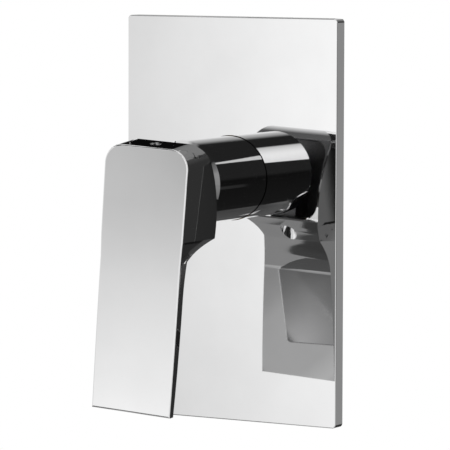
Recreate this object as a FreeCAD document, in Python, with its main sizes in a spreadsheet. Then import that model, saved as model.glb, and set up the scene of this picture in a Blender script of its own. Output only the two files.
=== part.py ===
import FreeCAD, Part
import os
import re
import Sketcher
from FreeCAD import Placement, Rotation, Vector

# A single-lever shower mixer whose valve body sits in the wall behind a cover plate.
# Every piece is drawn as seen from the room: X to the right, Y up and Z out of the wall, with the
# sleeve's axis on Z and the finished wall at Z = 0. Its placement then stands it up, so that the
# part's own frame has +Z up and the room on the -Y side.

sizes = {
    # Cover plate: a folded sheet, open at the back.
    "plateWidth": 120.0,
    "plateHeight": 200.0,
    "plateThick": 7.0,
    "plateSkin": 2.0,
    "plateRim": 2.0,
    "plateCorner": 2.0,
    "plateEdge": 0.5,
    "plateRise": 20.6,        # sleeve axis above the plate's middle
    "bossWall": 4.0,
    "bossGap": 1.0,           # boss short of the wall
    "gasketWidth": 6.0,
    "softGap": 0.3,           # foam to metal

    # Round seals.
    "ringWire": 0.9,          # radius of a ring's section
    "ringGap": 0.05,
    "ringSide": 0.1,          # side play of a ring in its groove

    # Sleeve over the valve neck.
    "sleeveRadius": 20.8,
    "sleeveWall": 1.0,
    "sleeveTailGap": 0.6,
    "sleeveGap": 0.3,         # sleeve to plate and to neck
    "domeRoom": 1.5,          # straight sleeve past the nut
    "domeRise": 4.5,
    "domeOpeningRadius": 13.8,
    "domeLip": 0.8,

    # Valve body in the wall.
    "seatDepth": 12.0,
    "blockRadius": 21.0,
    "armDepth": 22.0,         # arms' axes behind the wall line
    "armRadius": 13.2,
    "armCover": 0.8,          # block in front of and behind the arms
    "inletReach": 38.0,
    "outletReach": 42.0,
    "portRadius": 9.32,
    "portLength": 13.0,
    "channelRadius": 4.0,
    "inletOffset": 4.4,       # hot and cold channels in front of the arms' axes
    "outletOffset": 5.2,
    "flangePlate": 5.0,
    "flangeMargin": 6.0,
    "flangeCorner": 6.0,
    "armBevel": 1.0,
    "lugSpacing": 60.0,
    "lugHole": 2.6,

    # Plug in the spare outlet.
    "plugShank": 8.0,
    "plugFlange": 12.4,
    "plugHead": 3.0,
    "plugHex": 4.6,
    "plugHexDepth": 6.0,
    "washerThick": 1.5,
    "fitGap": 0.05,           # fixed fits

    # Cartridge.
    "cartridgeRadius": 17.4,
    "cartridgeGap": 0.1,
    "baseThick": 5.0,
    "discThick": 3.5,
    "discGap": 0.05,
    "fixedRadius": 14.5,
    "movingRadius": 10.6,
    "mixRadius": 6.5,
    "mixDepth": 1.6,
    "portSide": 8.0,          # hot and cold ports beside the axis
    "portDrop": 5.0,
    "portUp": 8.5,            # outlet port above the axis
    "sealWall": 1.7,
    "sealThick": 1.5,
    "carrierThick": 6.0,
    "carrierGap": 0.45,
    "ballRadius": 2.4,
    "ballRise": 3.0,
    "ballGap": 0.3,
    "ballFloor": 0.25,        # carrier left under the ball's socket
    "stemArm": 12.0,          # ball to pivot
    "stemNeck": 1.7,
    "stemSide": 8.0,
    "stemShort": 3.5,         # square starts this far below the pivot
    "ribWidth": 2.0,
    "ribHeight": 1.8,
    "ribOffset": 8.2,
    "ribLength": 9.0,
    "ribGap": 0.2,
    "coreFlange": 14.6,
    "coreFlangeThick": 3.0,
    "stopHeight": 1.3,        # stop lug out past the flange
    "stopLugAngle": 20.0,          # degrees that the lug covers
    "stopPlayAngle": 0.5,          # degrees
    "turnEachWayAngle": 50.0,      # degrees from straight down
    "coreRadius": 12.9,
    "coreGap": 0.08,
    "axialGap": 0.1,
    "coreRecess": 0.4,
    "slotSide": 0.15,
    "slotUp": 9.0,
    "slotDown": 6.6,
    "pinRadius": 1.5,
    "pinShort": 0.4,
    "pinFit": 0.02,
    "pinPlay": 0.05,
    "slideGap": 0.3,
    "housingBody": 25.0,
    "housingNeck": 6.0,
    "housingNeckRadius": 14.0,
    "nutThread": 4.0,
    "nutThreadWall": 0.8,     # how far the nut's thread stands out past the cartridge bore
    "nutHex": 4.0,
    "nutHexRadius": 19.2,
    "nutBoreGap": 0.2,

    # Lever.
    "leverTurnAngle": 3.2,         # degrees, its foot to the viewer's left
    "leverGap": 1.2,          # sleeve's front to the lever's heel
    "blockDepth": 29.0,       # heel to the top of the front face
    "leverLean": 3.7,         # front face further out at the foot
    "leverTop": 19.7,
    "shoulderRise": 1.8,      # back of the top face above its front
    "shoulderSet": 14.2,
    "heelDrop": 24.0,
    "throatDrop": 36.8,
    "throatRadius": 34.0,
    "backRadius": 55.0,
    "leverFoot": 107.9,
    "bladeThick": 4.3,        # at the foot
    "rootThick": 10.8,        # at the throat
    "leverTopWidth": 47.1,
    "leverFootWidth": 44.5,
    "waistDrop": 35.0,        # blade's sides are drafted below this
    "footInset": 4.8,         # sides' draft over the block's depth
    "waistInset": 11.6,
    "blockInset": 0.4,
    "leverCorner": 9.5,
    "leverEdge": 0.8,
    "spill": 2.0,             # waste beyond the finished outline
    "cavityWidth": 42.6,
    "cavityDrop": 22.6,
    "cavityTop": 16.0,
    "cavityCorner": 8.0,
    "cavityDepth": 17.0,
    "cavityBevel": 0.6,
    "bossRadius": 8.0,
    "bossReach": 12.0,
    "webWidth": 13.0,
    "socketDepth": 8.5,
    "socketGap": 0.05,
    "stemEndGap": 0.5,
    "screwSet": 6.6,          # screw axis short of the cavity's floor
    "screwRadius": 3.0,
    "screwLength": 10.0,
    "screwHex": 1.75,
    "screwHexDepth": 4.0,
    "keyRadius": 4.2,         # wider hole that the key goes in
    "indexSet": 4.4,          # index plug past the cavity's floor
    "indexRadius": 2.9,
    "indexDepth": 5.0,
    "indexRecess": 0.5,
}

doc = FreeCAD.newDocument("shower_mixer")
dim = doc.addObject("Spreadsheet::Sheet", "dim")
for row, (alias, size) in enumerate(sizes.items(), start=1):
    dim.set(f"A{row}", alias)
    dim.set(f"B{row}", str(size))
    dim.setAlias(f"B{row}", alias)
doc.recompute()


def bound(words):
    return re.sub(r"[A-Za-z]\w*", lambda alias: "dim." + alias.group(), words)


def number(words):
    return float(dim.evalExpression(bound(words)))


# Depths along the sleeve's axis, each worked out from what it seats on.
baseTop = "(seatDepth + baseThick)"
fixedTop = f"({baseTop} + discThick)"
movingFoot = f"({fixedTop} + discGap)"
carrierFoot = f"({movingFoot} + discThick)"
carrierTop = f"({carrierFoot} + carrierThick)"
ballDepth = f"({carrierFoot} + ballRise)"
pivotDepth = f"({ballDepth} + stemArm)"
coreFoot = f"({carrierTop} + carrierGap)"
coreFlangeTop = f"({coreFoot} + coreFlangeThick)"
coreShoulder = f"({coreFlangeTop} + axialGap)"
nutSeat = f"({baseTop} + housingBody)"
housingTop = f"({nutSeat} + housingNeck)"
coreTop = f"({housingTop} - coreRecess)"
neckEnd = f"({nutSeat} + nutThread)"
nutTop = f"({neckEnd} + nutHex)"
sleeveEnd = f"({nutTop} + domeRoom)"
domeFront = f"({sleeveEnd} + domeRise)"
heel = f"({domeFront} + leverGap)"
frontTop = f"({heel} + blockDepth)"
frontFoot = f"({frontTop} + leverLean)"
frontLean = "leverLean / (leverTop + leverFoot)"
shoulder = "(leverTop + shoulderRise)"
sideTaper = f"(leverTopWidth - leverFootWidth) / 2 / ({shoulder} + leverFoot)"
cavityFloor = f"({heel} + cavityDepth)"
socketFloor = f"({cavityFloor} + socketDepth)"
stemEnd = f"({socketFloor} - stemEndGap)"
screwDepth = f"({cavityFloor} - screwSet)"
indexAxis = f"({cavityFloor} + indexSet)"
plateSealDepth = "((plateThick - plateSkin + bossGap) / 2)"

# Depths behind the wall line.
blockFront = "(armDepth - armRadius - armCover)"
blockBack = "(armDepth + armRadius + armCover)"
inletChannel = "(armDepth - inletOffset)"
outletChannel = "(armDepth + outletOffset)"

# Radii shared by a piece and what it fits.
sleeveBore = "(sleeveRadius - sleeveWall)"
neckRadius = f"({sleeveBore} - sleeveGap)"
plateHole = "(sleeveRadius + sleeveGap)"
cartridgeBore = "(cartridgeRadius + cartridgeGap)"
mouthRadius = f"({cartridgeBore} + nutThreadWall)"
coreBore = "(coreRadius + coreGap)"
ringWidth = "(2 * ringWire + 2 * ringSide)"

stand = Placement(Vector(), Rotation(Vector(1, 0, 0), 90))
turned = stand * Placement(Vector(), Rotation(Vector(0, 0, 1), -number("leverTurnAngle")))
alongAxis = {
    "X": Rotation(Vector(0, 1, 0), 90),
    "Y": Rotation(Vector(1, 0, 0), -90),
    "Z": Rotation(),
}
pieces = []
near = 0.001      # mm, for telling which edge is which
parallel = 0.999  # least cosine of a line along an axis


def new_piece(label, placement=stand):
    body = doc.addObject("PartDesign::Body", label)
    body.Label = label
    body.Placement = placement
    pieces.append(body)
    return body


def new_sketch(body, role, label, offset="0"):
    plane = next(f for f in body.Origin.OriginFeatures if f.Role == role)
    sketch = body.newObject("Sketcher::SketchObject", label)
    sketch.AttachmentSupport = [(plane, "")]
    sketch.MapMode = "FlatFace"
    sketch.setExpression("AttachmentOffset.Base.z", bound(offset))
    return sketch


def pin_point(sketch, line, corner):
    # Ties the start of a line to its two sizes, measured from the sketch's origin.
    for kind, words, axis in zip(("DistanceX", "DistanceY"), corner, (-2, -1)):
        if words == "0":
            sketch.addConstraint(Sketcher.Constraint("PointOnObject", line, 1, axis))
        else:
            index = sketch.addConstraint(Sketcher.Constraint(kind, -1, 1, line, 1, number(words)))
            sketch.setExpression(f"Constraints[{index}]", bound(words))


def arc_between(start, end, radius):
    # Arc that turns anticlockwise from start to end and is less than half a circle.
    chord = end - start
    middle = (start + end) * 0.5
    rise = (radius ** 2 - (chord.Length / 2) ** 2) ** 0.5
    centre = middle + Vector(-chord.y, chord.x, 0).normalize() * rise
    circle = Part.Circle(centre, Vector(0, 0, 1), radius)
    return Part.ArcOfCircle(circle, circle.parameter(start), circle.parameter(end))


def outline(sketch, corners, arcs=None):
    # Closed outline through the corners. An entry in arcs bends the side that starts there.
    arcs = arcs or {}
    points = [Vector(number(u), number(v), 0) for u, v in corners]
    first = sketch.GeometryCount
    for i, point in enumerate(points):
        following = points[(i + 1) % len(points)]
        if i in arcs:
            sketch.addGeometry(arc_between(point, following, number(arcs[i])))
        else:
            sketch.addGeometry(Part.LineSegment(point, following))
    for i in range(len(points)):
        side = first + i
        following = first + (i + 1) % len(points)
        sketch.addConstraint(Sketcher.Constraint("Coincident", side, 2, following, 1))
    for i, corner in enumerate(corners):
        pin_point(sketch, first + i, corner)
    for i, radius in arcs.items():
        index = sketch.addConstraint(Sketcher.Constraint("Radius", first + i, number(radius)))
        sketch.setExpression(f"Constraints[{index}]", bound(radius))


def rectangle(sketch, left, right, low, high):
    outline(sketch, [(left, low), (right, low), (right, high), (left, high)])


def pad(body, sketch, length):
    feature = body.newObject("PartDesign::Pad", "pad")
    feature.Profile = sketch
    feature.setExpression("Length", bound(length))
    doc.recompute()
    return feature


def revolve(body, profile):
    # Turns a profile of radii and depths about the sleeve's axis.
    sketch = new_sketch(body, "XZ_Plane", "profile")
    outline(sketch, profile)
    feature = body.newObject("PartDesign::Revolution", "revolution")
    feature.Profile = sketch
    feature.ReferenceAxis = (sketch, ["V_Axis"])
    doc.recompute()
    return feature


def place(feature, at, along="Z"):
    feature.Placement = Placement(Vector(), alongAxis[along])
    for axis, words in zip("xyz", at):
        feature.setExpression(f"Placement.Base.{axis}", bound(words))


def sector(body, radius, length, depth, start, angle):
    # Slice of a round bar, from an angle measured anticlockwise from the right.
    feature = cylinder(body, "Additive", radius, length, ("0", "0", depth))
    feature.setExpression("Angle", bound(angle))
    feature.Placement.Rotation = Rotation(Vector(0, 0, 1), number(start))
    doc.recompute()


def cylinder(body, kind, radius, length, at, along="Z"):
    feature = body.newObject(f"PartDesign::{kind}Cylinder", "cylinder")
    feature.setExpression("Radius", bound(radius))
    feature.setExpression("Height", bound(length))
    place(feature, at, along)
    doc.recompute()
    return feature


def block(body, kind, length, width, height, at):
    feature = body.newObject(f"PartDesign::{kind}Box", "box")
    feature.setExpression("Length", bound(length))
    feature.setExpression("Width", bound(width))
    feature.setExpression("Height", bound(height))
    place(feature, at)
    doc.recompute()
    return feature


def hexagon(body, kind, radius, length, at, along="Z"):
    feature = body.newObject(f"PartDesign::{kind}Prism", "hexagon")
    feature.Polygon = 6
    feature.setExpression("Circumradius", bound(radius))
    feature.setExpression("Height", bound(length))
    place(feature, at, along)
    doc.recompute()
    return feature


def ring(body, radius, depth):
    feature = body.newObject("PartDesign::AdditiveTorus", "ring")
    feature.setExpression("Radius1", bound(radius))
    feature.setExpression("Radius2", bound("ringWire"))
    place(feature, ("0", "0", depth))
    doc.recompute()


def edges_where(shape, wanted):
    return [f"Edge{i}" for i, edge in enumerate(shape.Edges, start=1) if wanted(edge)]


def soften(body, kind, size, wanted):
    # Rounds or bevels the edges of the piece that the test picks out.
    base = body.Tip
    feature = body.newObject(f"PartDesign::{kind}", kind.lower())
    feature.Base = (base, edges_where(base.Shape, wanted))
    feature.setExpression("Radius" if kind == "Fillet" else "Size", bound(size))
    doc.recompute()


def points_on(edge):
    return edge.discretize(9)


def lies_at(edge, axis, level):
    ends = (getattr(edge.BoundBox, axis + "Min"), getattr(edge.BoundBox, axis + "Max"))
    return all(abs(end - level) < near for end in ends)


def runs_along(edge, axis):
    straight = edge.Curve.TypeId == "Part::GeomLine"
    return straight and abs(getattr(edge.tangentAt(edge.FirstParameter), axis)) > parallel


def escutcheon_plate():
    body = new_piece("escutcheon_plate")
    sketch = new_sketch(body, "XY_Plane", "face")
    low = "-plateHeight / 2 - plateRise"
    high = "plateHeight / 2 - plateRise"
    rectangle(sketch, "-plateWidth / 2", "plateWidth / 2", low, high)
    pad(body, sketch, "plateThick")
    soften(body, "Fillet", "plateCorner", lambda edge: runs_along(edge, "z"))
    front = number("plateThick")
    soften(body, "Fillet", "plateEdge", lambda edge: lies_at(edge, "Z", front))
    side = "plateWidth - 2 * plateRim"
    height = "plateHeight - 2 * plateRim"
    corner = ("plateRim - plateWidth / 2", f"{low} + plateRim", "0")
    block(body, "Subtractive", side, height, "plateThick - plateSkin", corner)
    bossLength = "plateThick - plateSkin / 2 - bossGap"
    cylinder(body, "Additive", f"{plateHole} + bossWall", bossLength, ("0", "0", "bossGap"))
    cylinder(body, "Subtractive", plateHole, "plateThick", ("0", "0", "0"))
    groove = "sleeveRadius + 2 * ringWire + 2 * ringGap"
    cylinder(body, "Subtractive", groove, ringWidth, ("0", "0", f"{plateSealDepth} - {ringWidth} / 2"))


def plate_gasket():
    body = new_piece("plate_gasket")
    sketch = new_sketch(body, "XY_Plane", "frame")
    for inset in ("plateRim + softGap", "plateRim + softGap + gasketWidth"):
        left = f"{inset} - plateWidth / 2"
        right = f"plateWidth / 2 - ({inset})"
        low = f"{inset} - plateHeight / 2 - plateRise"
        high = f"plateHeight / 2 - ({inset}) - plateRise"
        rectangle(sketch, left, right, low, high)
    pad(body, sketch, "plateThick - plateSkin")


def sleeve_seals():
    ring(new_piece("plate_sleeve_seal"), "sleeveRadius + ringGap + ringWire", plateSealDepth)
    ring(new_piece("sleeve_o_ring"), f"{sleeveBore} - ringGap - ringWire", plateSealDepth)


def sleeve():
    body = new_piece("sleeve")
    revolve(body, [
        (sleeveBore, "sleeveTailGap"),
        ("sleeveRadius", "sleeveTailGap"),
        ("sleeveRadius", sleeveEnd),
        ("domeOpeningRadius", domeFront),
        ("domeOpeningRadius", f"{domeFront} - domeLip"),
        (sleeveBore, f"{sleeveEnd} - domeLip"),
    ])


def mixer_body():
    body = new_piece("mixer_body")
    cylinder(body, "Additive", "blockRadius", f"{blockBack} - {blockFront}", ("0", "0", f"-{blockBack}"))
    cylinder(body, "Additive", neckRadius, f"{neckEnd} + {blockFront}", ("0", "0", f"-{blockFront}"))
    for reach, along in (("inletReach", "X"), ("outletReach", "Y")):
        start = (f"-{reach}", "0") if along == "X" else ("0", f"-{reach}")
        cylinder(body, "Additive", "armRadius", f"2 * {reach}", (*start, "-armDepth"), along)
    for reach, axis in (("inletReach", "X"), ("outletReach", "Y")):
        end = number(reach)
        soften(body, "Chamfer", "armBevel",
               lambda edge: lies_at(edge, axis, end) or lies_at(edge, axis, -end))
    width = "(lugSpacing + 2 * flangeMargin)"
    at = (f"-{width} / 2", f"-{width} / 2", f"-{blockBack}")
    block(body, "Additive", width, width, "flangePlate", at)
    corner = number(width) / 2
    soften(body, "Fillet", "flangeCorner",
           lambda edge: runs_along(edge, "z") and abs(abs(edge.CenterOfMass.x) - corner) < near)
    for right in ("-", ""):
        for up in ("-", ""):
            at = (f"{right}lugSpacing / 2", f"{up}lugSpacing / 2", f"-{blockBack}")
            cylinder(body, "Subtractive", "lugHole", "flangePlate", at)

    # Cartridge bore and the nut's mouth.
    cylinder(body, "Subtractive", cartridgeBore, f"{neckEnd} - seatDepth", ("0", "0", "seatDepth"))
    cylinder(body, "Subtractive", mouthRadius, "nutThread", ("0", "0", nutSeat))

    # Groove for the sleeve's ring.
    groove = body.newObject("PartDesign::SubtractiveTorus", "ring_groove")
    groove.setExpression("Radius1", bound(f"{sleeveBore} - ringGap - ringWire"))
    groove.setExpression("Radius2", bound("ringWire + ringSide"))
    place(groove, ("0", "0", plateSealDepth))
    doc.recompute()

    # Threaded ports, and the channels from them to the seat.
    for end in ("-inletReach", "inletReach - portLength"):
        cylinder(body, "Subtractive", "portRadius", "portLength", (end, "0", "-armDepth"), "X")
    for end in ("-outletReach", "outletReach - portLength"):
        cylinder(body, "Subtractive", "portRadius", "portLength", ("0", end, "-armDepth"), "Y")
    inletRun = "inletReach - portSide"
    for start in ("-inletReach", "portSide"):
        at = (start, "-portDrop", f"-{inletChannel}")
        cylinder(body, "Subtractive", "channelRadius", inletRun, at, "X")
    for side in ("-portSide", "portSide"):
        at = (side, "-portDrop", f"-{inletChannel} - channelRadius")
        cylinder(body, "Subtractive", "channelRadius", f"seatDepth + {inletChannel} + channelRadius", at)
    at = ("0", "-outletReach", f"-{outletChannel}")
    cylinder(body, "Subtractive", "channelRadius", "2 * outletReach", at, "Y")
    at = ("0", "portUp", f"-{outletChannel}")
    cylinder(body, "Subtractive", "channelRadius", f"seatDepth + {outletChannel}", at)


def outlet_plug():
    body = new_piece("outlet_plug")
    face = "(-outletReach - washerThick)"
    head = f"{face} - plugHead"
    at = ("0", face, "-armDepth")
    cylinder(body, "Additive", "portRadius - fitGap", "plugShank + washerThick", at, "Y")
    cylinder(body, "Additive", "plugFlange", "plugHead", ("0", head, "-armDepth"), "Y")
    hexagon(body, "Subtractive", "plugHex", "plugHexDepth", ("0", head, "-armDepth"), "Y")

    washer = new_piece("plug_washer")
    cylinder(washer, "Additive", "plugFlange", "washerThick", at, "Y")
    cylinder(washer, "Subtractive", "portRadius + fitGap", "washerThick", at, "Y")


portPlaces = (("-portSide", "-portDrop"), ("portSide", "-portDrop"), ("0", "portUp"))
sealOuter = "(channelRadius + sealWall)"


def port_seals(label, foot):
    body = new_piece(label)
    body.AllowCompound = True
    for right, up in portPlaces:
        cylinder(body, "Additive", sealOuter, "sealThick", (right, up, foot))
    for right, up in portPlaces:
        cylinder(body, "Subtractive", "channelRadius", "sealThick", (right, up, foot))


def cartridge_base():
    body = new_piece("cartridge_base")
    cylinder(body, "Additive", "cartridgeRadius", "baseThick", ("0", "0", "seatDepth"))
    for right, up in portPlaces:
        cylinder(body, "Subtractive", "channelRadius", "baseThick", (right, up, "seatDepth"))
        for foot in ("seatDepth", f"{baseTop} - sealThick"):
            cylinder(body, "Subtractive", f"{sealOuter} + fitGap", "sealThick", (right, up, foot))


def ceramic_discs():
    fixed = new_piece("fixed_disc")
    cylinder(fixed, "Additive", "fixedRadius", "discThick", ("0", "0", baseTop))
    for right, up in portPlaces:
        cylinder(fixed, "Subtractive", "channelRadius", "discThick", (right, up, baseTop))

    moving = new_piece("moving_disc", turned)
    cylinder(moving, "Additive", "movingRadius", "discThick", ("0", "0", movingFoot))
    cylinder(moving, "Subtractive", "mixRadius", "mixDepth", ("0", "0", movingFoot))


def disc_carrier():
    body = new_piece("disc_carrier", turned)
    cylinder(body, "Additive", "movingRadius", "carrierThick", ("0", "0", carrierFoot))
    for side in ("-ribOffset", "ribOffset"):
        at = (f"{side} - ribWidth / 2", "-ribLength / 2", carrierTop)
        block(body, "Additive", "ribWidth", "ribLength", "ribHeight", at)
    socket = "(ballRadius + ballGap)"
    depth = f"{carrierTop} - {carrierFoot} - ballFloor"
    cylinder(body, "Subtractive", socket, depth, ("0", "0", f"{carrierFoot} + ballFloor"))
    # Mouth of the socket, longer upwards for the tilted stem.
    at = (f"-{socket}", f"-{socket}", ballDepth)
    block(body, "Subtractive", f"2 * {socket}", f"{socket} + 2 * ballRadius", "carrierThick", at)


def stem_carrier():
    body = new_piece("stem_carrier", turned)
    cylinder(body, "Additive", "coreFlange", "coreFlangeThick", ("0", "0", coreFoot))
    lugRadius = "coreFlange + stopHeight"
    sector(body, lugRadius, "coreFlangeThick", coreFoot, "-90 - stopLugAngle / 2", "stopLugAngle")
    cylinder(body, "Additive", "coreRadius", f"{coreTop} - {coreFoot}", ("0", "0", coreFoot))
    slotWidth = "(stemSide + 2 * slotSide)"
    at = (f"-{slotWidth} / 2", "-slotDown", coreFoot)
    block(body, "Subtractive", slotWidth, "slotUp + slotDown", f"{coreTop} - {coreFoot}", at)
    pinBore = "pinRadius + pinFit"
    cylinder(body, "Subtractive", pinBore, "2 * coreRadius", ("-coreRadius", "0", pivotDepth), "X")
    # Grooves that the sliding plate's ribs run in, open past both ends of their travel.
    for side in ("-ribOffset", "ribOffset"):
        at = (f"{side} - ribWidth / 2 - ribGap", "-coreFlange", coreFoot)
        block(body, "Subtractive", "ribWidth + 2 * ribGap", "2 * coreFlange", "ribHeight", at)


def pivot_pin():
    body = new_piece("pivot_pin", turned)
    at = ("pinShort - coreRadius", "0", pivotDepth)
    cylinder(body, "Additive", "pinRadius", "2 * (coreRadius - pinShort)", at, "X")


def cartridge_stem():
    body = new_piece("cartridge_stem", turned)
    squareFoot = f"({pivotDepth} - stemShort)"
    at = ("-stemSide / 2", "-stemSide / 2", squareFoot)
    block(body, "Additive", "stemSide", "stemSide", f"{stemEnd} - {squareFoot}", at)
    cylinder(body, "Additive", "stemNeck", f"{squareFoot} - {ballDepth}", ("0", "0", ballDepth))
    ball = body.newObject("PartDesign::AdditiveSphere", "ball")
    ball.setExpression("Radius", bound("ballRadius"))
    place(ball, ("0", "0", ballDepth))
    doc.recompute()
    at = ("-stemSide / 2", "0", pivotDepth)
    cylinder(body, "Subtractive", "pinRadius + pinPlay", "stemSide", at, "X")


def cartridge_housing():
    body = new_piece("cartridge_housing")
    chamber = "(coreFlange + stopHeight + slideGap)"
    discPocket = "fixedRadius + fitGap"
    revolve(body, [
        (discPocket, baseTop),
        ("cartridgeRadius", baseTop),
        ("cartridgeRadius", nutSeat),
        ("housingNeckRadius", nutSeat),
        ("housingNeckRadius", housingTop),
        (coreBore, housingTop),
        (coreBore, coreShoulder),
        (chamber, coreShoulder),
        (chamber, fixedTop),
        (discPocket, fixedTop),
    ])
    # Thicker wall at the core's flange, with a window below that the stop lug turns in.
    window = "(turnEachWayAngle + stopLugAngle / 2 + stopPlayAngle)"
    wallMiddle = f"(cartridgeRadius + {chamber}) / 2"
    depth = f"{coreShoulder} - {coreFoot}"
    sector(body, wallMiddle, depth, coreFoot, f"{window} - 90", f"360 - 2 * {window}")
    cylinder(body, "Subtractive", "coreFlange + slideGap", depth, ("0", "0", coreFoot))


def cartridge_nut():
    body = new_piece("cartridge_nut")
    cylinder(body, "Additive", f"{mouthRadius} - fitGap", f"{nutTop} - {nutSeat}", ("0", "0", nutSeat))
    hexagon(body, "Additive", "nutHexRadius", "nutHex", ("0", "0", neckEnd))
    bore = "housingNeckRadius + nutBoreGap"
    cylinder(body, "Subtractive", bore, f"{nutTop} - {nutSeat}", ("0", "0", nutSeat))


def lever_outline(depth):
    # Outline of the lever at one depth, its sides drafted back from the edges of the front face.
    corners = []
    for drop, inset in (("(leverFoot + spill)", "footInset"), ("waistDrop", "waistInset"),
                        ("heelDrop", "blockInset"), (f"(-{shoulder} - spill)", "blockInset")):
        width = f"leverFootWidth / 2 + {sideTaper} * (leverFoot - {drop})"
        face = f"({frontTop} + {frontLean} * (leverTop + {drop}))"
        right = f"{width} - {inset} / blockDepth * ({face} - ({depth}))"
        corners.append((right, f"-{drop}"))
    return corners + [(f"-({right})", up) for right, up in reversed(corners)]


def lever_handle():
    body = new_piece("lever_handle", turned)

    # Block deeper than the lever, narrower towards the wall.
    sections = []
    for label, depth in (("front", f"{frontFoot} + spill"), ("back", f"{heel} - spill")):
        section = new_sketch(body, "XY_Plane", label, depth)
        outline(section, lever_outline(depth))
        sections.append(section)
    doc.recompute()
    loft = body.newObject("PartDesign::AdditiveLoft", "loft")
    loft.Profile = sections[0]
    loft.Sections = sections[1:]
    loft.Ruled = True
    doc.recompute()

    # Side outline, cut across the whole width: front face, blade, throat, heel and round back.
    side = new_sketch(body, "YZ_Plane", "side")
    throat = f"{frontTop} + {frontLean} * (leverTop + throatDrop) - rootThick"
    outline(side, [
        ("-heelDrop", heel),
        (shoulder, f"{heel} + shoulderSet"),
        ("leverTop", frontTop),
        ("-leverFoot", frontFoot),
        ("-leverFoot", f"{frontFoot} - bladeThick"),
        ("-throatDrop", throat),
    ], {0: "backRadius"})
    rectangle(side, "-leverFoot - 2 * spill", f"{shoulder} + 2 * spill",
              f"{heel} - 2 * spill", f"{frontFoot} + 2 * spill")
    cut = body.newObject("PartDesign::Pocket", "side_cut")
    cut.Profile = side
    cut.Type = "ThroughAll"
    cut.SideType = "Symmetric"
    doc.recompute()

    # Large rounds at the top corners and in the throat, then a fine one round the face.
    top = number("leverTop")
    rise = number("shoulderRise")
    soften(body, "Fillet", "leverCorner",
           lambda edge: edge.BoundBox.YMin > top - near and edge.BoundBox.XLength < rise)
    foot = number("throatDrop")
    soften(body, "Fillet", "throatRadius", lambda edge: lies_at(edge, "Y", -foot))
    slope = number(frontLean)
    face = number(frontTop)

    def on_front(point):
        return abs(point.z - face - slope * (top - point.y)) < near

    soften(body, "Fillet", "leverEdge", lambda edge: all(map(on_front, points_on(edge))))

    # Hollow open at the back, with a boss and a web for the stem's square socket and its screw.
    width = number("cavityWidth") / 2
    at = ("-cavityWidth / 2", "-cavityDrop", f"{heel} - spill")
    block(body, "Subtractive", "cavityWidth", "cavityDrop + cavityTop", "cavityDepth + spill", at)
    soften(body, "Fillet", "cavityCorner",
           lambda edge: runs_along(edge, "z") and abs(abs(edge.CenterOfMass.x) - width) < near)
    floor = number(cavityFloor)
    low, high = (number("-cavityDrop"), number("cavityTop"))

    def in_mouth(point):
        return abs(point.x) < width + near and low - near < point.y < high + near and point.z < floor - near

    def on_rim(edge):
        return all(map(in_mouth, points_on(edge))) and not runs_along(edge, "z")

    soften(body, "Chamfer", "cavityBevel", on_rim)
    foot = f"{cavityFloor} - bossReach"
    cylinder(body, "Additive", "bossRadius", "bossReach + spill", ("0", "0", foot))
    at = ("-webWidth / 2", "-cavityDrop - spill", foot)
    block(body, "Additive", "webWidth", "cavityDrop + spill", "bossReach + spill", at)
    socket = "(stemSide + 2 * socketGap)"
    at = (f"-{socket} / 2", f"-{socket} / 2", foot)
    block(body, "Subtractive", socket, socket, "socketDepth + bossReach", at)

    # Screw hole from the underside to the socket, and the index plug's hole in the top.
    at = ("0", "-leverFoot", screwDepth)
    cylinder(body, "Subtractive", "screwRadius + fitGap", "leverFoot", at, "Y")
    keyEnd = "(stemSide / 2 + screwLength + spill)"
    cylinder(body, "Subtractive", "keyRadius", f"leverFoot - {keyEnd}", at, "Y")
    at = ("0", "leverTop - indexDepth", indexAxis)
    cylinder(body, "Subtractive", "indexRadius + fitGap", "indexDepth + shoulderRise + spill", at, "Y")


def lever_fittings():
    screw = new_piece("handle_grub_screw", turned)
    tip = "-stemSide / 2 - fitGap"
    at = ("0", f"{tip} - screwLength", screwDepth)
    cylinder(screw, "Additive", "screwRadius", "screwLength", at, "Y")
    hexagon(screw, "Subtractive", "screwHex", "screwHexDepth", at, "Y")

    plug = new_piece("index_plug", turned)
    at = ("0", "leverTop - indexDepth", indexAxis)
    cylinder(plug, "Additive", "indexRadius", "indexDepth + shoulderRise / 2 - indexRecess", at, "Y")


escutcheon_plate()
plate_gasket()
sleeve_seals()
sleeve()
mixer_body()
outlet_plug()
port_seals("base_seals", "seatDepth")
port_seals("disc_seals", f"{baseTop} - sealThick")
cartridge_base()
ceramic_discs()
disc_carrier()
stem_carrier()
pivot_pin()
cartridge_stem()
cartridge_housing()
cartridge_nut()
lever_handle()
lever_fittings()
doc.recompute()

for item in doc.Objects:
    if {"Invalid", "Error"} & set(item.State):
        raise RuntimeError(f"{item.Label} did not rebuild: {item.State}")
for piece in pieces:
    if piece.Shape.isNull() or not piece.Shape.isValid():
        raise RuntimeError(f"{piece.Label} has no valid shape")

os.makedirs("parts", exist_ok=True)
for piece in pieces:
    piece.Shape.exportStep(f"parts/{piece.Label}.step")
    print(f"{piece.Label}: {len(piece.Shape.Solids)} solid, {piece.Shape.Volume / 1000:.2f} cm3")
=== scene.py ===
import math
import bmesh
import bpy
from mathutils import Matrix, Vector


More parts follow.
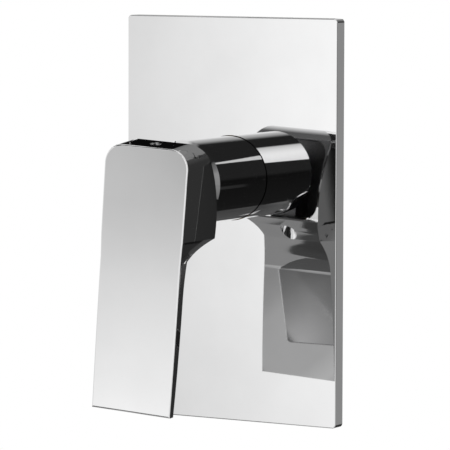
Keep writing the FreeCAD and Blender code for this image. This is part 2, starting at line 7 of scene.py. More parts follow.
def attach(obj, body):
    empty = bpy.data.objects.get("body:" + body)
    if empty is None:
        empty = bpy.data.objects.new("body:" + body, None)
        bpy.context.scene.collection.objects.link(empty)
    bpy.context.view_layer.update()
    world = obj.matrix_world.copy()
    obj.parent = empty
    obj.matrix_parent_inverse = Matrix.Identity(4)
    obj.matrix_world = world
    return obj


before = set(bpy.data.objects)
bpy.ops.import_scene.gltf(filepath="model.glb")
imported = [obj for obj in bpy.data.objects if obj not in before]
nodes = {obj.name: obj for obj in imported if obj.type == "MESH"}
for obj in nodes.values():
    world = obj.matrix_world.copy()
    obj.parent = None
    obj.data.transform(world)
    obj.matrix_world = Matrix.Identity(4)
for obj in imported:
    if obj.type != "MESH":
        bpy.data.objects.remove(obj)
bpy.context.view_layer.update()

scene = bpy.context.scene
print("frame loaded:", len(nodes), "nodes")

# camera at the photograph's angle: to the right of the plate and a little above
cameraSet = {
    "turn": 0.5402,       # radians round to the right
    "lookDown": 0.0860,
    "roll": 0.0024,
    "distance": 1.7969,
    "aim": (-0.007322, 0.0, -0.024277),
    "lens": 289.1,        # mm on a 36 mm sensor
}


def makeCamera(s):
    turn, tilt = s["turn"], s["lookDown"]
    ahead = Vector((-math.sin(turn) * math.cos(tilt), math.cos(turn) * math.cos(tilt), -math.sin(tilt)))
    right = Vector((math.cos(turn), math.sin(turn), 0))
    up = right.cross(ahead)
    rolledRight = right * math.cos(s["roll"]) + up * math.sin(s["roll"])
    rolledUp = up * math.cos(s["roll"]) - right * math.sin(s["roll"])
    data = bpy.data.cameras.new("camera")
    data.lens = s["lens"]
    data.sensor_width = 36
    data.clip_start, data.clip_end = 0.01, 50
    cam = bpy.data.objects.new("camera", data)
    place = Matrix((rolledRight, rolledUp, -ahead)).transposed().to_4x4()
    place.translation = Vector(s["aim"]) - ahead * s["distance"]
    cam.matrix_world = place
    scene.collection.objects.link(cam)
    scene.camera = cam


makeCamera(cameraSet)
print("camera set")


# small helpers for the node trees; all texture sizes are per metre
def newMaterial(name):
    mat = bpy.data.materials.new(name)
    mat.use_nodes = True
    tree = mat.node_tree
    return mat, tree, tree.nodes["Principled BSDF"]


def setInputs(shader, **values):
    for name, value in values.items():
        shader.inputs[name.replace("_", " ")].default_value = value


def surfacePoint(tree, stretch=(1, 1, 1)):
    coords = tree.nodes.new("ShaderNodeTexCoord")
    mapping = tree.nodes.new("ShaderNodeMapping")
    mapping.inputs["Scale"].default_value = stretch
    tree.links.new(coords.outputs["Object"], mapping.inputs["Vector"])
    return mapping.outputs["Vector"]


def noiseField(tree, point, scale, detail=4):
    noise = tree.nodes.new("ShaderNodeTexNoise")
    noise.inputs["Scale"].default_value = scale
    noise.inputs["Detail"].default_value = detail
    noise.inputs["Roughness"].default_value = 0.55
    tree.links.new(point, noise.inputs["Vector"])
    return noise.outputs["Fac"]


def cellField(tree, point, scale):
    cells = tree.nodes.new("ShaderNodeTexVoronoi")
    cells.inputs["Scale"].default_value = scale
    tree.links.new(point, cells.inputs["Vector"])
    return cells.outputs["Distance"]


def latheField(tree, point, pitch, along):
    wave = tree.nodes.new("ShaderNodeTexWave")
    wave.bands_direction = along
    wave.inputs["Scale"].default_value = 2 * math.pi / (20 * pitch)   # a wave of scale 1 turns 20 radians a metre
    wave.inputs["Distortion"].default_value = 0.6
    wave.inputs["Detail"].default_value = 2
    tree.links.new(point, wave.inputs["Vector"])
    return wave.outputs["Fac"]


def spread(tree, field, low, high, start=0.3, stop=0.7):
    ranged = tree.nodes.new("ShaderNodeMapRange")
    for name, value in (("From Min", start), ("From Max", stop), ("To Min", low), ("To Max", high)):
        ranged.inputs[name].default_value = value
    tree.links.new(field, ranged.inputs["Value"])
    return ranged.outputs["Result"]


def joinFields(tree, first, second, how="ADD"):
    sums = tree.nodes.new("ShaderNodeMath")
    sums.operation = how
    tree.links.new(first, sums.inputs[0])
    tree.links.new(second, sums.inputs[1])
    return sums.outputs["Value"]


def tintField(tree, field, stops):
    ramp = tree.nodes.new("ShaderNodeValToRGB")
    bar = ramp.color_ramp.elements
    while len(bar) < len(stops):
        bar.new(0.5)
    for mark, (at, colour) in zip(bar, stops):
        mark.position = at
        mark.color = (*colour, 1)
    tree.links.new(field, ramp.inputs["Fac"])
    return ramp.outputs["Color"]


def raiseField(tree, shader, field, strength, height):
    bump = tree.nodes.new("ShaderNodeBump")
    bump.inputs["Strength"].default_value = strength
    bump.inputs["Distance"].default_value = height
    tree.links.new(field, bump.inputs["Height"])
    tree.links.new(bump.outputs["Normal"], shader.inputs["Normal"])


# mirror chrome: hazy patches and wipe marks in the polish only
chromeSet = {"dull": (0.872, 0.872, 0.874), "bright": (0.902, 0.902, 0.904), "polish": (0.012, 0.030),
             "haze": 26, "wipe": 0.012, "wipes": 900, "wipeStretch": (1, 1, 0.06)}
# the lever's hollow is left as cast, rough and dull, and its colour is darkened to a dark grey as painted shade in
# the recess: a box in the lever's own turned directions
hollowFinishAndShadeSet = {"turn": 3.2, "middle": (0, -0.0664, -0.0033), "reach": (0.0222, 0.0086, 0.0202),
             # low, high: dark greys that paint shade into the hollow
             "low": (0.16, 0.16, 0.165), "high": (0.26, 0.26, 0.265), "rough": 0.45,
             "grain": 1400, "bump": 0.4, "depth": 0.0003}


def insideBox(tree, s):
    coords = tree.nodes.new("ShaderNodeTexCoord")
    mapping = tree.nodes.new("ShaderNodeMapping")
    mapping.vector_type = "TEXTURE"
    mapping.inputs["Location"].default_value = s["middle"]
    mapping.inputs["Rotation"].default_value = (0, math.radians(s["turn"]), 0)
    mapping.inputs["Scale"].default_value = s["reach"]
    tree.links.new(coords.outputs["Object"], mapping.inputs["Vector"])
    size = tree.nodes.new("ShaderNodeVectorMath")
    size.operation = "ABSOLUTE"
    tree.links.new(mapping.outputs["Vector"], size.inputs[0])
    apart = tree.nodes.new("ShaderNodeSeparateXYZ")
    tree.links.new(size.outputs["Vector"], apart.inputs["Vector"])
    farthest = joinFields(tree, apart.outputs["X"], apart.outputs["Y"], "MAXIMUM")
    farthest = joinFields(tree, farthest, apart.outputs["Z"], "MAXIMUM")
    return spread(tree, farthest, 1, 0, 0.995, 1.0)


def polishedChrome(name, s, hollowFinishAndShade=None):
    mat, tree, shader = newMaterial(name)
    setInputs(shader, Metallic=1)
    haze = noiseField(tree, surfacePoint(tree), s["haze"], 5)
    wipes = noiseField(tree, surfacePoint(tree, s["wipeStretch"]), s["wipes"], 2)
    polish = joinFields(tree, spread(tree, haze, *s["polish"]), spread(tree, wipes, 0, s["wipe"], 0.5, 0.8))
    colours = tintField(tree, haze, [(0.35, s["dull"]), (0.6, s["bright"])])
    if hollowFinishAndShade:
        # inside the box: a rougher as-cast finish, and a dark grey base colour that is painted shade in the recess
        cast = insideBox(tree, hollowFinishAndShade)
        grain = noiseField(tree, surfacePoint(tree), hollowFinishAndShade["grain"], 4)
        polish = joinFields(tree, polish, spread(tree, cast, 0, hollowFinishAndShade["rough"], 0, 1))
        mix = tree.nodes.new("ShaderNodeMix")
        mix.data_type = "RGBA"
        tree.links.new(cast, mix.inputs["Factor"])
        tree.links.new(colours, mix.inputs["A"])
        tree.links.new(tintField(tree, grain, [(0.3, hollowFinishAndShade["low"]), (0.7, hollowFinishAndShade["high"])]), mix.inputs["B"])
        colours = mix.outputs["Result"]
        raiseField(tree, shader, joinFields(tree, grain, cast, "MULTIPLY"), hollowFinishAndShade["bump"], hollowFinishAndShade["depth"])
    tree.links.new(polish, shader.inputs["Roughness"])
    tree.links.new(colours, shader.inputs["Base Color"])
    return mat


# sand-cast brass with its port ends and neck machined bright
castSet = {
    "dark": (0.42, 0.27, 0.10), "mid": (0.62, 0.43, 0.18), "pale": (0.76, 0.57, 0.27),
    "machined": (0.80, 0.62, 0.31),
    "portEnds": (0.0372, 0.0412),   # metres from the axis where the lathe has been
    "neck": 0.0055,                 # machined in front of this
    "fade": (0.0003, 0.0007),       # width of the change at the ports and at the neck
    "rough": (0.34, 0.52), "smoother": 0.2,
    "stain": 55, "grain": 1500, "machinedGrain": 0.06, "bump": 0.5, "depth": 0.0004,
}


def castBrass(s):
    mat, tree, shader = newMaterial("cast brass")
    setInputs(shader, Metallic=1)
    point = surfacePoint(tree)
    stain = noiseField(tree, point, s["stain"], 6)
    grain = noiseField(tree, point, s["grain"], 4)
    apart = tree.nodes.new("ShaderNodeSeparateXYZ")
    tree.links.new(point, apart.inputs["Vector"])
    marks = []
    for axis, reach in zip("XZ", s["portEnds"]):
        size = tree.nodes.new("ShaderNodeMath")
        size.operation = "ABSOLUTE"
        tree.links.new(apart.outputs[axis], size.inputs[0])
        marks.append(spread(tree, size.outputs["Value"], 0, 1, reach, reach + s["fade"][0]))
    marks.append(spread(tree, apart.outputs["Y"], 1, 0, s["neck"], s["neck"] + s["fade"][1]))
    machined = joinFields(tree, joinFields(tree, marks[0], marks[1], "MAXIMUM"), marks[2], "MAXIMUM")
    colours = tintField(tree, stain, [(0.3, s["dark"]), (0.48, s["mid"]), (0.66, s["pale"])])
    mix = tree.nodes.new("ShaderNodeMix")
    mix.data_type = "RGBA"
    tree.links.new(machined, mix.inputs["Factor"])
    tree.links.new(colours, mix.inputs["A"])
    bright = tintField(tree, grain, [(0.3, s["pale"]), (0.7, s["machined"])])
    tree.links.new(bright, mix.inputs["B"])
    tree.links.new(mix.outputs["Result"], shader.inputs["Base Color"])
    smoother = spread(tree, machined, 0, s["smoother"], 0, 1)
    tree.links.new(joinFields(tree, spread(tree, stain, *s["rough"]), smoother, "SUBTRACT"),
                   shader.inputs["Roughness"])
    cast = joinFields(tree, grain, spread(tree, machined, 1, s["machinedGrain"], 0, 1), "MULTIPLY")
    raiseField(tree, shader, cast, s["bump"], s["depth"])
    return mat


# lathe-turned metal: fine rings along the tool's travel
turnedSets = {
    "turned brass": {"low": (0.58, 0.40, 0.16), "high": (0.80, 0.62, 0.32), "rough": (0.20, 0.34),
                     "pitch": 0.0004, "stain": 140, "bump": 0.35, "depth": 0.00004},
    "turned steel": {"low": (0.46, 0.46, 0.47), "high": (0.66, 0.66, 0.67), "rough": (0.18, 0.32),
                     "pitch": 0.00025, "stain": 140, "bump": 0.35, "depth": 0.00004},
}


def turnedMetal(name, s, along):
    mat, tree, shader = newMaterial(name)
    setInputs(shader, Metallic=1)
    point = surfacePoint(tree)
    rings = latheField(tree, point, s["pitch"], along)
    stain = noiseField(tree, point, s["stain"], 4)
    tree.links.new(tintField(tree, stain, [(0.35, s["low"]), (0.62, s["high"])]), shader.inputs["Base Color"])
    tree.links.new(spread(tree, stain, *s["rough"]), shader.inputs["Roughness"])
    raiseField(tree, shader, rings, s["bump"], s["depth"])
    return mat


# soft and moulded finishes
mouldedSets = {
    "seal rubber": {"low": (0.016, 0.016, 0.017), "high": (0.040, 0.040, 0.042), "rough": (0.5, 0.72),
                    "patch": 300, "grain": 3500, "bump": 0.4, "depth": 0.00008},
    "acetal": {"low": (0.74, 0.74, 0.70), "high": (0.84, 0.84, 0.81), "rough": (0.32, 0.46),
               "patch": 120, "grain": 2600, "bump": 0.4, "depth": 0.00004},
    "index plastic": {"low": (0.012, 0.012, 0.013), "high": (0.022, 0.022, 0.024), "rough": (0.24, 0.32),
                      "patch": 500, "grain": 4000, "bump": 0.4, "depth": 0.00001},
}


def moulded(name, s):
    mat, tree, shader = newMaterial(name)
    point = surfacePoint(tree)
    patch = noiseField(tree, point, s["patch"], 4)
    tree.links.new(tintField(tree, patch, [(0.32, s["low"]), (0.66, s["high"])]), shader.inputs["Base Color"])
    tree.links.new(spread(tree, patch, *s["rough"]), shader.inputs["Roughness"])
    raiseField(tree, shader, noiseField(tree, point, s["grain"], 3), s["bump"], s["depth"])
    return mat


# closed-cell foam: pores about a millimetre across
foamSet = {"low": (0.075, 0.075, 0.08), "high": (0.17, 0.17, 0.175), "rough": (0.75, 0.95),
           "patch": 400, "pores": 850, "bump": 0.8, "depth": 0.0006}


def closedFoam(s):
    mat, tree, shader = newMaterial("closed-cell foam")
    point = surfacePoint(tree)
    pores = cellField(tree, point, s["pores"])
    tree.links.new(tintField(tree, pores, [(0.05, s["low"]), (0.55, s["high"])]), shader.inputs["Base Color"])
    tree.links.new(spread(tree, noiseField(tree, point, s["patch"]), *s["rough"]), shader.inputs["Roughness"])
    raiseField(tree, shader, pores, s["bump"], s["depth"])
    return mat


# lapped alumina: faint speckle under a fine polish
ceramicSet = {"body": (0.88, 0.87, 0.83), "speck": (0.74, 0.73, 0.69), "rough": (0.12, 0.24),
              "patch": 90, "specks": 2400}


def lappedCeramic(s):
    mat, tree, shader = newMaterial("lapped ceramic")
    point = surfacePoint(tree)
    specks = noiseField(tree, point, s["specks"], 2)
    tree.links.new(tintField(tree, specks, [(0.3, s["speck"]), (0.42, s["body"])]), shader.inputs["Base Color"])
    tree.links.new(spread(tree, noiseField(tree, point, s["patch"]), *s["rough"]), shader.inputs["Roughness"])
    return mat


chrome = polishedChrome("polished chrome", chromeSet)
brass = castBrass(castSet)
rubber = moulded("seal rubber", mouldedSets["seal rubber"])
acetal = moulded("acetal", mouldedSets["acetal"])
foam = closedFoam(foamSet)
ceramic = lappedCeramic(ceramicSet)
finishes = {
    "escutcheon_plate": chrome, "sleeve": chrome,
    "lever_handle": polishedChrome("polished chrome lever", chromeSet, hollowFinishAndShadeSet),
    "mixer_body": brass,
    "outlet_plug": turnedMetal("turned brass upright", turnedSets["turned brass"], "Z"),
    "cartridge_nut": turnedMetal("turned brass", turnedSets["turned brass"], "Y"),
    "pivot_pin": turnedMetal("turned steel across", turnedSets["turned steel"], "X"),
    "cartridge_stem": turnedMetal("turned steel", turnedSets["turned steel"], "Y"),
    "handle_grub_screw": turnedMetal("turned steel upright", turnedSets["turned steel"], "Z"),
    "plate_gasket": foam,
    "index_plug": moulded("index plastic", mouldedSets["index plastic"]),
}
for name in ("plate_sleeve_seal", "sleeve_o_ring", "base_seals", "disc_seals", "plug_washer"):
    finishes[name] = rubber
for name in ("cartridge_housing", "cartridge_base", "stem_carrier", "disc_carrier"):
    finishes[name] = acetal
for name in ("fixed_disc", "moving_disc"):
    finishes[name] = ceramic
for name, obj in nodes.items():
    obj.data.materials.clear()
    obj.data.materials.append(finishes[name])
print("finishes on", len(finishes), "nodes")

# pipe threads in the three open ports
threadSet = {
    "bore": 0.00932, "pitch": 0.001814, "height": 0.00055, "length": 0.0118, "steps": 56,
    "leadIn": 0.0008, "runOut": 0.4, "leastRise": 0.05,
    "sunk": 0.00004,                     # the root goes this far into the bore's wall
    "flanks": (0.02, 0.40, 0.52, 0.90),  # root, crest, crest, root as shares of the pitch
    "ports": {   # mouth and the way in
        "hot_inlet_thread": ((-0.038, 0.022, 0), (1, 0, 0)),
        "cold_inlet_thread": ((0.038, 0.022, 0), (-1, 0, 0)),
        "shower_outlet_thread": ((0, 0.022, 0.042), (0, 0, -1)),
    },
}


def pipeThread(name, mouth, inwards, s):
    turn = Vector(inwards).to_track_quat("Z", "Y").to_matrix()
    count = int((s["length"] / s["pitch"] - 1) * s["steps"])
    mesh = bmesh.new()
    rows = []
    for i in range(count + 1):
        angle = 2 * math.pi * i / s["steps"]
        depth = s["leadIn"] + s["pitch"] * i / s["steps"]
        ends = min(i, count - i) / (s["runOut"] * s["steps"])
        rise = s["height"] * min(1, s["leastRise"] + ends)
        row = []
        for lift, along in zip((-s["sunk"], rise, rise, -s["sunk"]), s["flanks"]):
            radius = s["bore"] - lift
            spot = Vector((radius * math.cos(angle), radius * math.sin(angle), depth + along * s["pitch"]))
            row.append(mesh.verts.new(Vector(mouth) + turn @ spot))
        rows.append(row)
    for a, b in zip(rows, rows[1:]):
        for k in range(4):
            n = (k + 1) % 4
            mesh.faces.new((a[k], a[n], b[n], b[k]))
    mesh.faces.new(rows[0][::-1])
    mesh.faces.new(rows[-1])
    bmesh.ops.recalc_face_normals(mesh, faces=mesh.faces[:])
    data = bpy.data.meshes.new(name)
    mesh.to_mesh(data)
    mesh.free()
    data.materials.append(finishes["cartridge_nut"])
    piece = bpy.data.objects.new(name, data)
    scene.collection.objects.link(piece)
    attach(piece, "valve")


for name, (mouth, inwards) in threadSet["ports"].items():
    pipeThread(name, mouth, inwards, threadSet)
print("threads cut")

# studio: white all round for the camera and reflections, softer on matt surfaces
worldSet = {"white": 1.0, "ambient": 0.55, "glossyBounces": 10, "allBounces": 14}


def makeWorld(s):
    world = bpy.data.worlds.new("studio")
    scene.world = world
    world.use_nodes = True
    tree = world.node_tree
    back = tree.nodes["Background"]
    back.inputs["Color"].default_value = (1, 1, 1, 1)
    path = tree.nodes.new("ShaderNodeLightPath")
    seen = joinFields(tree, path.outputs["Is Camera Ray"], path.outputs["Is Glossy Ray"], "MAXIMUM")
    seen = joinFields(tree, seen, path.outputs["Is Transmission Ray"], "MAXIMUM")
    tree.links.new(spread(tree, seen, s["ambient"], s["white"], 0, 1), back.inputs["Strength"])
    scene.view_settings.view_transform = "Standard"
    scene.cycles.glossy_bounces = s["glossyBounces"]   # the plate and the lever mirror each other
    scene.cycles.max_bounces = s["allBounces"]


makeWorld(worldSet)


def reflectedOnly(obj):
    obj.visible_camera = False
    obj.visible_shadow = False
    obj.visible_diffuse = False
    obj.visible_transmission = False


def glowMaterial(name):
    mat, tree, shader = newMaterial(name)
    setInputs(shader, Base_Color=(0, 0, 0, 1), Specular_IOR_Level=0, Emission_Strength=1)
    return mat, tree, shader


# curved studio flags: patches of a dome round the object that show only in reflections
# side: -1 in front of the wall, 1 behind it; ahead, behind: one layer nearer or farther than the rest
# lights: a clear flag that only this node mirrors
# first: a clear flag that shows only in a first reflection, and stands this much nearer
# a stop: angle round from +X towards +Z, nearest and farthest angle from the sleeve's axis, tone,
# and a second tone where the farthest edge has its own
domeSet = {"radius": 0.9, "layer": 0.004, "rings": 8, "widest": 4}
flagSets = {
    "front_dark": {"side": -1, "stops": [
        (-122, 26, 37, 0.08), (-112, 24, 40, 0.04), (-92, 22, 40, 0.035), (-88, 10, 40, 0.014),
        (-70, 10, 62, 0.01), (-50, 10, 90, 0.009), (-12, 10, 90, 0.007), (-11.5, 27.5, 90, 0.007),
        (0, 28, 90, 0.006), (7, 27, 90, 0.017), (12, 25.5, 90, 0.017), (30, 23.5, 90, 0.017),
        (55, 21.5, 90, 0.017), (118, 20.5, 90, 0.017)]},
    "edge_line": {"side": -1, "lights": "lever_handle", "stops": [
        (-64, 10, 16, 1), (-50, 10, 20, 1), (-40, 10, 23.5, 1), (-22, 10, 24, 1), (-12, 10, 26, 1)]},
    "throat_end": {"side": -1, "stops": [(-147, 23.4, 27, 0.03), (-130, 23.1, 27, 0.03)]},
    "throat_tip": {"side": -1, "stops": [(-134, 34, 37, 0.05), (-122, 34, 37, 0.06)]},
    "plate_soft": {"side": -1, "lights": "escutcheon_plate", "first": 0.002, "stops": [
        (-122, 26, 90, 0.72, 0.3), (-92, 22, 90, 0.73, 0.32), (-88, 10, 90, 0.74, 0.32),
        (-60, 10, 90, 0.76, 0.34), (-14, 10, 90, 0.8, 0.36), (-13.5, 10, 46, 0.8, 0.56),
        (-12, 10, 46, 0.8, 0.56), (-11.5, 27.5, 46, 0.7, 0.56), (11.5, 26, 46, 0.72, 0.6),
        (12, 25.5, 90, 0.76, 0.46), (55, 21.5, 90, 0.82, 0.55), (117, 20.5, 90, 0.86, 0.6)]},
    "front_soft": {"side": -1, "stops": [
        (-180, 0, 9.9, 0.8), (-90, 0, 9.9, 0.8, 0.68), (0, 0, 9.9, 0.8, 0.86), (90, 0, 9.9, 0.8, 0.95),
        (180, 0, 9.9, 0.8)]},
    "near_left_soft": {"side": -1, "stops": [
        (158, 9.9, 24, 0.84, 0.92), (180, 9.9, 24, 0.8, 0.88), (208, 9.9, 24, 0.76, 0.84)]},
    "left_soft": {"side": -1, "stops": [
        (154, 38, 90, 0.95, 0.7), (180, 38, 90, 0.86, 0.66), (208, 40.5, 90, 0.76, 0.58)]},
    "lever_soft": {"side": -1, "lights": "lever_handle", "first": 0.004, "stops": [
        (-122, 24, 90, 0.7, 0.3), (-92, 21, 90, 0.74, 0.32), (-88, 10, 90, 0.74, 0.32),
        (-64, 10, 90, 0.78, 0.36), (-63.9, 16, 90, 0.78, 0.36), (-50, 20, 90, 0.79, 0.38),
        (-40, 23.5, 90, 0.8, 0.4), (-22, 24, 90, 0.82, 0.43), (-12, 26, 90, 0.84, 0.45),
        (0, 27, 90, 0.84, 0.47), (60, 24, 90, 0.86, 0.55), (117, 24, 90, 0.86, 0.6)]},
    "heel_corner": {"side": -1, "stops": [(118, 20.5, 27, 0.017), (126, 20.5, 27, 0.017)]},
    "front_low": {"side": -1, "stops": [
        (-131, 60, 90, 0.245), (-121.6, 60, 90, 0.245), (-121, 60, 90, 0.06), (-119, 60, 90, 0.06),
        (-117, 60, 90, 0.105), (-86, 60, 90, 0.105)]},
    "front_top": {"side": -1, "stops": [
        (118, 34.6, 63.2, 0.017), (124, 34.6, 63.2, 0.012), (125, 34.6, 70, 0.01), (140, 34.6, 70, 0.004),
        (153, 34.6, 62, 0.003)]},
    "sleeve_top": {"side": -1, "stops": [
        (118, 27, 34.6, 0.017), (122, 27, 34.6, 0.05), (128, 27, 34.6, 0.2), (135, 27, 34.6, 0.38),
        (148, 27, 34.6, 0.55), (158, 27, 34.6, 0.8), (168, 27, 34.6, 0.96)]},
    "sleeve_low": {"side": -1, "stops": [
        (-144, 28.5, 34, 0.3), (-138, 28.5, 34, 0.08), (-122, 28.5, 34, 0.09)]},
    "sleeve_bright_far": {"side": -1, "lights": "sleeve", "stops": [
        (34, 28.4, 29.4, 0.84), (37.5, 28.4, 32, 0.84), (50, 28.4, 32, 0.92), (58, 28.4, 32, 0.95),
        (66, 28.4, 32, 0.87), (76, 28.4, 32, 0.7), (82, 28.4, 32, 0.56), (86, 28.4, 32, 0.04)]},
    "sleeve_bright_near": {"side": -1, "lights": "escutcheon_plate", "stops": [
        (48, 31, 33.8, 0.5, 0.45), (50, 31, 33.8, 0.64), (52.5, 31, 33.8, 0.64), (54, 31, 33.1, 0.64),
        (57, 31, 32.2, 0.64), (59.5, 31, 31.6, 0.6)]},
    "sleeve_end": {"side": -1, "lights": "sleeve", "stops": [
        (-42, 33, 40, 0.13), (-25, 33, 40, 0.18), (-8, 33, 40, 0.24), (22, 33, 40, 0.26), (36, 33, 40, 0.14),
        (49, 33, 40, 0.1), (54, 33, 40, 0.01)]},
    "sleeve_bevel": {"side": -1, "lights": "sleeve", "stops": [
        (96, 46, 64, 0), (102, 46, 64, 0.2), (108, 46, 64, 0.22), (112, 46, 64, 0.45), (116, 46, 70, 0.66),
        (118, 46, 63.1, 0.72), (124, 46, 63.1, 0.74), (125, 46, 69, 0.74), (138, 46, 69, 0.74)]},
    "lever_corner": {"side": -1, "lights": "escutcheon_plate", "stops": [
        (28, 39, 46, 0.025), (46.5, 39, 46, 0.04), (49.5, 39.5, 46, 0.19), (62, 39.5, 46, 0.21),
        (112, 39.5, 46, 0.21), (126, 38.5, 46, 0.2), (142, 38.5, 46, 0.14)]},
    "plate_edge_far": {"side": -1, "lights": "escutcheon_plate", "stops": [
        (-9, 34.2, 90, 0.04), (7, 34.2, 90, 0.04)]},
    "throat_lift": {"side": -1, "lights": "escutcheon_plate", "stops": [
        (-90, 10, 31, 0.016), (-21, 10, 31, 0.018)]},
    "lever_side_near": {"side": -1, "lights": "escutcheon_plate", "stops": [
        (-20.6, 32.45, 34.4, 0.016, 0.022), (-13.6, 32.45, 34.4, 0.016, 0.022)]},
    "lever_side_far": {"side": -1, "lights": "lever_handle", "stops": [
        (-20.5, 30.05, 30.5, 0, 0.11), (-12, 30.05, 30.5, 0, 0.11)]},
    "lever_side_far_edge": {"side": -1, "lights": "lever_handle", "stops": [
        (-20.5, 30.5, 31.3, 0.11), (-12, 30.5, 31.3, 0.11)]},
    "throat_grey": {"side": -1, "lights": "lever_handle", "stops": [
        (-116, 36, 62, 0.09), (-86, 33.5, 62, 0.11, 0.12), (-50, 33.5, 62, 0.11, 0.12),
        (-29, 38.6, 66, 0.14, 0.17), (-14, 43, 72, 0.16, 0.2), (-8, 44, 72, 0.17, 0.2)]},
    "blade_tip_front": {"side": -1, "stops": [
        (-150, 37, 40.1, 0.06), (-146, 37, 40.1, 0.05, 0.13), (-144.5, 37, 40.1, 0.04, 0.16),
        (-143, 37, 40.1, 0.04, 0.23), (-139, 37, 40.1, 0.04, 0.22), (-137, 37, 40.1, 0.08, 0.12),
        (-116, 37, 40.1, 0.09)]},
    "blade_back_front": {"side": -1, "stops": [
        (-150, 40.1, 42.3, 0.06), (-146, 40.1, 42.3, 0.15), (-144.5, 40.1, 42.3, 0.19, 0.21),
        (-143, 40.1, 42.3, 0.28, 0.29), (-141.7, 40.1, 42.3, 0.29, 0.44), (-140.5, 40.1, 42.3, 0.29, 0.52),
        (-139, 40.1, 42.3, 0.29, 0.4), (-137, 40.1, 42.3, 0.12), (-116, 40.1, 42.3, 0.09)]},
    "blade_root_front": {"side": -1, "behind": True, "stops": [
        (-150, 41.5, 60.5, 0.06), (-146, 41.5, 60.5, 0.1, 0.08), (-140, 41.5, 60.5, 0.1, 0.085),
        (-116, 41.5, 60.5, 0.085)]},
    "low_backing": {"side": -1, "behind": True, "stops": [(-92, 38, 90, 0.06), (-44, 38, 90, 0.02)]},
    "back_dark": {"side": 1, "stops": [
        (-84, 18, 90, 0.03), (-50, 18, 90, 0.028), (-44, 24, 90, 0.028), (14, 24, 90, 0.032),
        (30, 24, 90, 0.05), (43, 24, 90, 0.065), (46, 24, 90, 0.2), (62, 24, 90, 0.215), (106, 24, 90, 0.22)]},
    "plate_side": {"side": 1, "lights": "escutcheon_plate", "stops": [
        (-40, 24, 90, 0.235), (14, 24, 90, 0.245)]},
    "plate_top": {"side": 1, "stops": [(152, 20, 37, 0.33), (190, 20, 37, 0.33)]},
    "lever_top_back": {"side": 1, "stops": [
        (126, 37, 75, 0.02, 0.05), (145, 37, 75, 0.003, 0.05), (165, 37, 75, 0.02, 0.05), (171, 37, 75, 0.2)]},
    "lever_top_far": {"side": 1, "stops": [(106, 56, 80, 0.14, 0.1), (126, 56, 80, 0.14, 0.1)]},
    "lever_top_far_edge": {"side": 1, "stops": [(106, 80, 85.5, 0.1, 0.8), (126, 80, 85.5, 0.1, 0.8)]},
    "blade_back": {"side": 1, "stops": [
        (-152, 34, 44.9, 0.22), (-146, 34, 44.9, 0.28), (-144.6, 34, 44.9, 0.33), (-143.5, 34, 44.9, 0.41),
        (-142, 34, 44.9, 0.46, 0.43), (-139, 34, 44.9, 0.45, 0.42), (-137.5, 34, 44.9, 0.52),
        (-136, 34, 44.9, 0.28), (-118, 34, 44.9, 0.26)]},
    "blade_root_back": {"side": 1, "behind": True, "stops": [
        (-152, 44, 90, 0.22), (-146, 44, 90, 0.26), (-118, 44, 90, 0.26)]},
    "blade_edge_back": {"side": 1, "stops": [(-118, 24, 36, 0.05), (-100, 24, 36, 0.02), (-84, 24, 36, 0.012)]},
    "heel_shade": {"side": 1, "ahead": True, "stops": [
        (-127, 48, 63, 0.055), (-126, 48, 66, 0.055), (-124.2, 48, 72, 0.055), (-122.3, 48, 80, 0.045),
        (-121.5, 48, 84, 0.045), (-121, 48, 90, 0.045), (-118, 48, 90, 0.06)]},
    "under_back": {"side": 1, "stops": [
        (-118, 36, 90, 0.1), (-104, 36, 90, 0.07, 0.11), (-84, 36, 90, 0.05, 0.1)]},
}


def stepsBetween(stops, widest):
    for a, b in zip(stops, stops[1:]):
        count = max(1, math.ceil((b[0] - a[0]) / widest))
        for i in range(count):
            yield [u + (v - u) * i / count for u, v in zip(a, b)]
    yield stops[-1]


def lightOnly(panel, mat, shader, lit):
    tree = mat.node_tree
    clear = tree.nodes.new("ShaderNodeBsdfTransparent")
    both = tree.nodes.new("ShaderNodeAddShader")
    tree.links.new(shader.outputs["BSDF"], both.inputs[0])
    tree.links.new(clear.outputs["BSDF"], both.inputs[1])
    tree.links.new(both.outputs["Shader"], tree.nodes["Material Output"].inputs["Surface"])
    group = bpy.data.collections.new(panel.name + "_lights")
    for name in lit:
        group.objects.link(nodes[name])
    panel.light_linking.receiver_collection = group


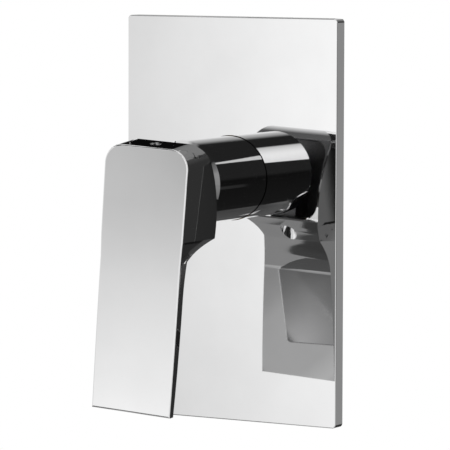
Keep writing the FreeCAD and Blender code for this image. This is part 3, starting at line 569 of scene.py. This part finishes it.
def makeFlag(name, s, dome):
    mesh = bmesh.new()
    layer = mesh.verts.layers.float_color.new("tone")
    radius = dome["radius"]
    if "lights" in s or "ahead" in s:
        radius -= dome["layer"]
    if "behind" in s:
        radius += dome["layer"]
    radius -= s.get("first", 0)   # no two of the wide clear flags at one depth
    rings, columns = dome["rings"], []
    stops = [(*stop, stop[3])[:5] for stop in s["stops"]]
    for turn, near, far, nearTone, farTone in stepsBetween(stops, dome["widest"]):
        column = []
        for i in range(rings + 1):
            lean, angle = math.radians(near + (far - near) * i / rings), math.radians(turn)
            tone = nearTone + (farTone - nearTone) * i / rings
            spot = (math.sin(lean) * math.cos(angle), s["side"] * math.cos(lean), math.sin(lean) * math.sin(angle))
            column.append(mesh.verts.new(Vector(spot) * radius))
            column[-1][layer] = (tone, tone, tone, 1)
        columns.append(column)
    for a, b in zip(columns, columns[1:]):
        for i in range(rings):
            mesh.faces.new((a[i], a[i + 1], b[i + 1], b[i]))
    data = bpy.data.meshes.new(name)
    mesh.to_mesh(data)
    mesh.free()
    mat, tree, shader = glowMaterial(name)
    tone = tree.nodes.new("ShaderNodeVertexColor")
    tone.layer_name = "tone"
    tree.links.new(tone.outputs["Color"], shader.inputs["Emission Color"])
    if "first" in s:
        path = tree.nodes.new("ShaderNodeLightPath")
        once = spread(tree, path.outputs["Ray Depth"], 1, 0, 1.4, 1.6)
        tree.links.new(once, shader.inputs["Emission Strength"])
    data.materials.append(mat)
    flag = bpy.data.objects.new(name, data)
    scene.collection.objects.link(flag)
    reflectedOnly(flag)
    if "lights" in s:
        lightOnly(flag, mat, shader, [s["lights"]])


for name, s in flagSets.items():
    makeFlag(name, s, domeSet)
print("flags hung:", len(flagSets))

# two graded panels in front, each lighting its own faces, on a black backing
cardSets = {
    "plate_panel": {"away": 2.00, "lights": [n for n in nodes if n != "lever_handle"],
                    "across": [(0.28, 1.035), (0.72, 0.77)], "upward": [(0.25, 0.915), (0.40, 0.965), (0.58, 1)]},
    "lever_panel": {"away": 2.01, "lights": ["lever_handle"], "across": [(0, 1), (1, 1)],
                    "upward": [(0.375, 0.98), (0.447, 0.863), (0.52, 0.755), (0.577, 0.63), (0.611, 0.552),
                               (0.657, 0.484), (0.70, 0.45)]},
    "lever_panel_left": {"away": 1.99, "lights": ["lever_handle"], "across": [(0.40, 0), (0.545, 0.092)],
                         "upward": [(0.55, 0), (0.577, 0.17), (0.611, 0.52), (0.634, 0.87), (0.657, 1)]},
    "panel_backing": {"away": 2.02, "lights": [], "across": [(0, 0), (1, 0)], "upward": [(0, 1), (1, 1)]},
}
cardPlace = {"from": (0, -0.007, -0.015), "towards": (-0.513, -0.854, -0.075), "width": 0.50, "height": 0.90}


def makeCard(name, s, place):
    mesh = bmesh.new()
    corners = ((-0.5, -0.5), (0.5, -0.5), (0.5, 0.5), (-0.5, 0.5))
    mesh.faces.new([mesh.verts.new((x * place["width"], y * place["height"], 0)) for x, y in corners])
    data = bpy.data.meshes.new(name)
    mesh.to_mesh(data)
    mesh.free()
    mat, tree, shader = glowMaterial(name)
    coords = tree.nodes.new("ShaderNodeTexCoord")
    apart = tree.nodes.new("ShaderNodeSeparateXYZ")
    tree.links.new(coords.outputs["Generated"], apart.inputs["Vector"])
    ramps = [tintField(tree, apart.outputs[axis], [(at, (tone, tone, tone)) for at, tone in s[way]])
             for axis, way in (("X", "across"), ("Y", "upward"))]
    tree.links.new(joinFields(tree, *ramps, "MULTIPLY"), shader.inputs["Emission Color"])
    data.materials.append(mat)
    card = bpy.data.objects.new(name, data)
    scene.collection.objects.link(card)
    way = Vector(place["towards"]).normalized()
    card.matrix_world = (Matrix.Translation(Vector(place["from"]) + way * s["away"])
                         @ (-way).to_track_quat("Z", "Y").to_matrix().to_4x4())
    reflectedOnly(card)
    if s["lights"]:
        lightOnly(card, mat, shader, s["lights"])


for name, s in cardSets.items():
    makeCard(name, s, cardPlace)

# soft lamps for the matt pieces
lampSets = {
    "key_lamp": {"at": (-1.0, -1.1, 1.0), "size": 0.9, "power": 9},
    "back_lamp": {"at": (0.9, 1.2, 0.7), "size": 0.9, "power": 9},
}


def makeLamp(name, s):
    data = bpy.data.lights.new(name, "AREA")
    data.shape = "DISK"
    data.size = s["size"]
    data.energy = s["power"]
    lamp = bpy.data.objects.new(name, data)
    lamp.location = s["at"]
    lamp.rotation_euler = (-Vector(s["at"])).to_track_quat("-Z", "Y").to_euler()
    lamp.visible_glossy = False
    scene.collection.objects.link(lamp)


for name, s in lampSets.items():
    makeLamp(name, s)

# pale floor well below the part
floorSet = {"height": -0.95, "radius": 2.0, "edges": 96, "low": (0.86, 0.86, 0.86), "high": (0.90, 0.90, 0.90),
            "mottle": 6, "rough": 0.8, "gloss": 0.2}


def makeFloor(s):
    bpy.ops.mesh.primitive_circle_add(vertices=s["edges"], radius=s["radius"], fill_type="NGON",
                                      location=(0, 0, s["height"]))
    floor = bpy.context.object
    floor.name = "floor"
    mat, tree, shader = newMaterial("pale floor")
    setInputs(shader, Roughness=s["rough"], Specular_IOR_Level=s["gloss"])
    mottle = noiseField(tree, surfacePoint(tree), s["mottle"], 4)
    tree.links.new(tintField(tree, mottle, [(0.3, s["low"]), (0.7, s["high"])]), shader.inputs["Base Color"])
    floor.data.materials.append(mat)


makeFloor(floorSet)
print("studio set")
